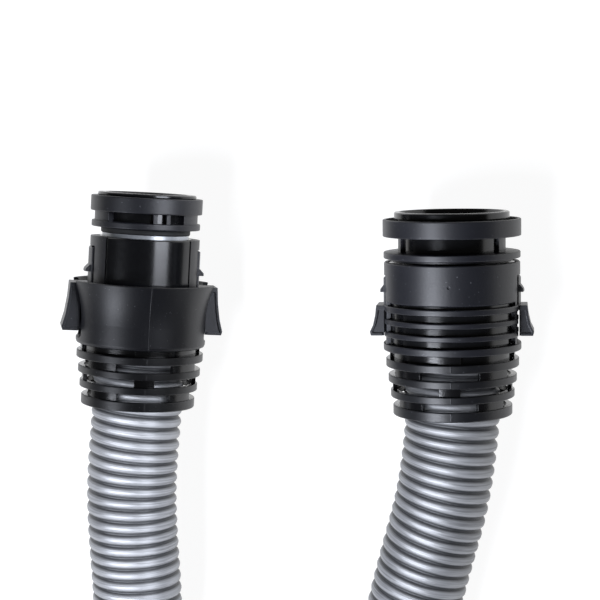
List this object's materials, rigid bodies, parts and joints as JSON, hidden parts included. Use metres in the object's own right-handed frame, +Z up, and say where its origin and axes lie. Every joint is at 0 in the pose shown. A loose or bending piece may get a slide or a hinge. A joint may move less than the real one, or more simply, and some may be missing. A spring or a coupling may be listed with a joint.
{
  "type": "suction hose",
  "caption": "Ribbed suction hose for a canister vacuum cleaner, with a swivelling, latching cuff and a slotted strain relief at each end.",
  "frame": {"origin": "on the ground, under the middle of the box that holds both cuffs (the hose itself left out)", "axes": "+X from the handle cuff to the machine cuff, +Y the way the mouths point, +Z up"},
  "size_m": [0.4229, 0.742, 0.0712],
  "materials": {
    "charcoal_plastic": "fine grained matt, charcoal",
    "gloss_black": "polished black moulding",
    "silver_plastic": "silver pearl moulding",
    "silver_hose": "silver grey pearl vinyl, satin gloss",
    "rubber_black": "matt black rubber",
    "acetal_ring": "natural acetal, off white"
  },
  "bodies": {
    "hose": {"hose_handle_run": "silver_hose", "hose_loop": "silver_hose", "hose_machine_run": "silver_hose", "handle_sleeve": "silver_plastic", "handle_o_ring": "rubber_black", "handle_seal_ring": "rubber_black", "handle_mouth_ring": "charcoal_plastic", "handle_nose_tube": "gloss_black", "machine_sleeve": "silver_plastic", "machine_o_ring": "rubber_black", "machine_seal_ring": "rubber_black", "machine_mouth_ring": "charcoal_plastic", "machine_nose_tube": "gloss_black"},
    "handle_cuff": {"handle_barrel": "gloss_black", "handle_collar": "charcoal_plastic", "handle_cage": "charcoal_plastic", "handle_slip_ring": "acetal_ring", "handle_snap_ring": "acetal_ring"},
    "handle_latch_a": {"handle_latch_a": "charcoal_plastic"},
    "handle_latch_b": {"handle_latch_b": "charcoal_plastic"},
    "machine_cuff": {"machine_barrel": "gloss_black", "machine_collar": "charcoal_plastic", "machine_cage": "charcoal_plastic", "machine_slip_ring": "acetal_ring", "machine_snap_ring": "acetal_ring"},
    "machine_latch_a": {"machine_latch_a": "charcoal_plastic"},
    "machine_latch_b": {"machine_latch_b": "charcoal_plastic"}
  },
  "joints": [
    {"name": "handle_swivel", "type": "hinge", "parent": "hose", "child": "handle_cuff", "pos_m": [-0.07693, 0.00772, 0.03558], "axis": [0.0628, 0.9979, 0.0175], "continuous": true},
    {"name": "machine_swivel", "type": "hinge", "parent": "hose", "child": "machine_cuff", "pos_m": [0.0781, 0.00802, 0.03395], "axis": [-0.0017, 0.9986, 0.0523], "continuous": true},
    {"name": "handle_latch_a_press", "type": "hinge", "parent": "handle_cuff", "child": "handle_latch_a", "pos_m": [-0.09721, 0.02579, 0.04657], "axis": [0.4459, -0.0437, 0.894], "range_deg": [0, 6], "stiffness_Nm_per_rad": 1},
    {"name": "handle_latch_b_press", "type": "hinge", "parent": "handle_cuff", "child": "handle_latch_b", "pos_m": [-0.05453, 0.02348, 0.02517], "axis": [-0.4459, 0.0437, -0.894], "range_deg": [0, 6], "stiffness_Nm_per_rad": 1},
    {"name": "machine_latch_a_press", "type": "hinge", "parent": "machine_cuff", "child": "machine_latch_a", "pos_m": [0.04912, 0.01252, 0.03791], "axis": [0.1272, -0.0517, 0.9905], "range_deg": [0, 9], "stiffness_Nm_per_rad": 1},
    {"name": "machine_latch_b_press", "type": "hinge", "parent": "machine_cuff", "child": "machine_latch_b", "pos_m": [0.10705, 0.01301, 0.0305], "axis": [-0.1272, 0.0517, -0.9905], "range_deg": [0, 9], "stiffness_Nm_per_rad": 1}
  ]
}
